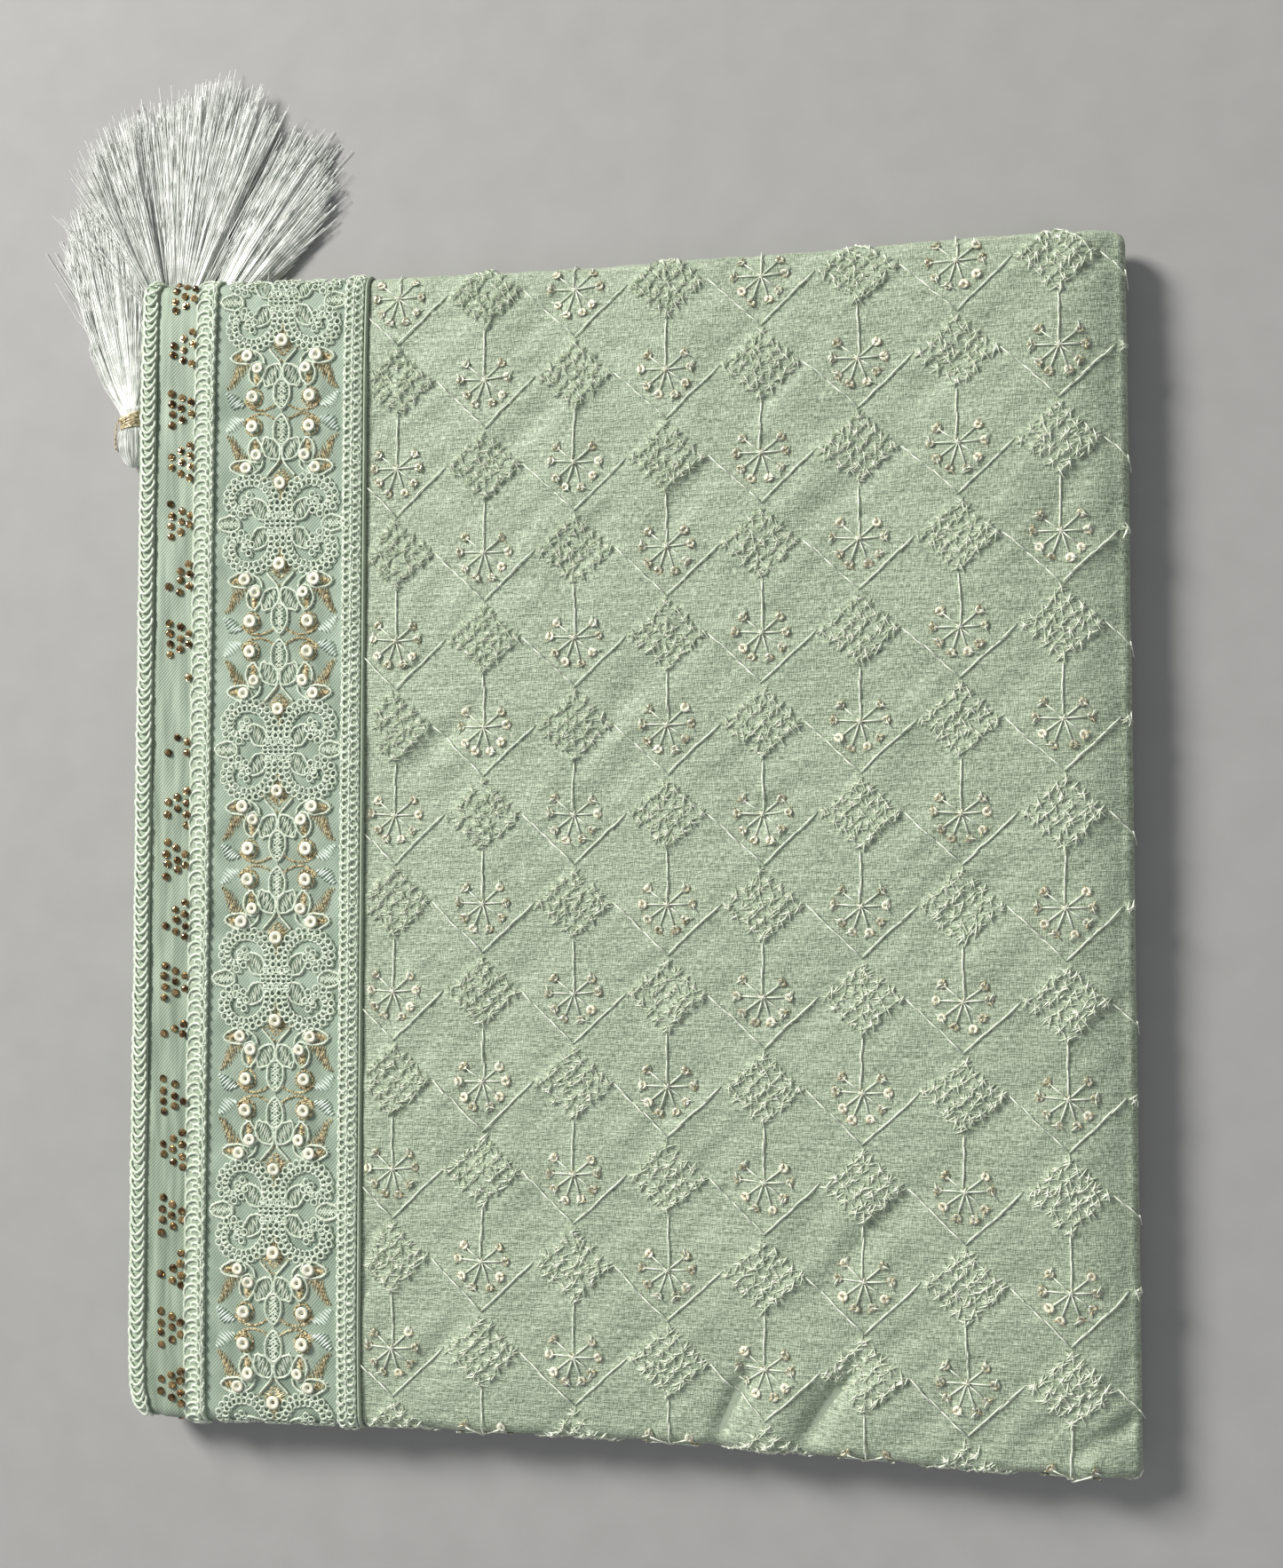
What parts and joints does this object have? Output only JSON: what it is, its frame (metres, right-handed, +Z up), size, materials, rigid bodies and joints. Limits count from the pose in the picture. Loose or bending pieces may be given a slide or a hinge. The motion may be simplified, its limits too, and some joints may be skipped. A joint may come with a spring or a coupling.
{
  "type": "folded embroidered dupatta stole",
  "caption": "Folded silk dupatta lying flat, with a lattice of embroidered lozenges, a corded medallion border, a stone edging and silk corner tassels.",
  "frame": {"origin": "centre of the folded packet's flat underside, where it rests", "axes": "+Z up, away from the surface it lies on; +Y along the packet's long sides towards the tassels' end; +X across it, away from the border"},
  "size_m": [0.3928, 0.5034, 0.0217],
  "materials": {
    "silk_cloth": "sage green slub silk with a soft sheen",
    "net_ground": "mint green fine net over silk",
    "corded_thread": "pale mint twisted cord, corded embroidery",
    "tassel_silk": "near-white mint floss silk",
    "gold_thread": "antique gold metal thread and faceted stones"
  },
  "bodies": {
    "root": {"hidden_layers": "silk_cloth", "body_cloth": "silk_cloth", "border_band": "net_ground", "stone_edging": "silk_cloth", "outer_braid": "corded_thread", "middle_braid": "corded_thread", "inner_braid": "corded_thread", "piping": "silk_cloth", "tassel_left": "tassel_silk", "tassel_middle": "tassel_silk", "tassel_right": "tassel_silk", "binding_left": "gold_thread", "binding_middle": "gold_thread", "binding_right": "gold_thread"}
  },
  "joints": []
}
